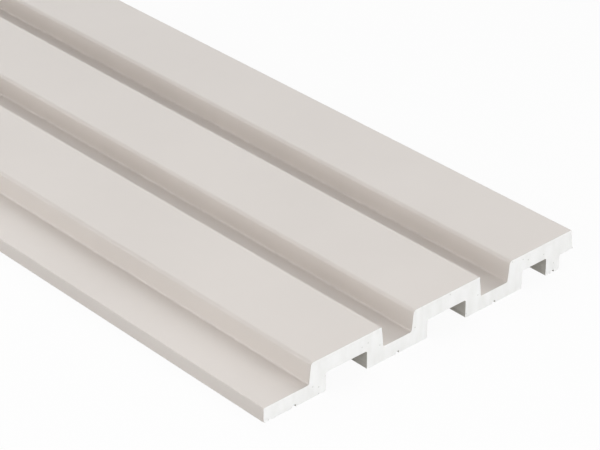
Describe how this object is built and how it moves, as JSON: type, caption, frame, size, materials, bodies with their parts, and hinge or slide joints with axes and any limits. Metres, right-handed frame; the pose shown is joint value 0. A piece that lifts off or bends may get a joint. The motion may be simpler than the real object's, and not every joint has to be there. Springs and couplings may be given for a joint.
{
  "type": "decorative wall slat",
  "caption": "Long ribbed wall cladding slat of foamed plastic with a satin greige face, a low ledge along one edge and a lip along the other that laps over the next slat.",
  "frame": {"origin": "bottom centre of the slat, in the plane of its feet", "axes": "+X across the slat from the ledge to the lip, +Y along its length, +Z from the wall side to the rib tops"},
  "size_m": [0.1282, 2.65, 0.012],
  "materials": {
    "slat": "satin greige decor film on the front, bare white foam on the back and cut ends"
  },
  "bodies": {
    "root": {"slat": "slat"}
  },
  "joints": []
}
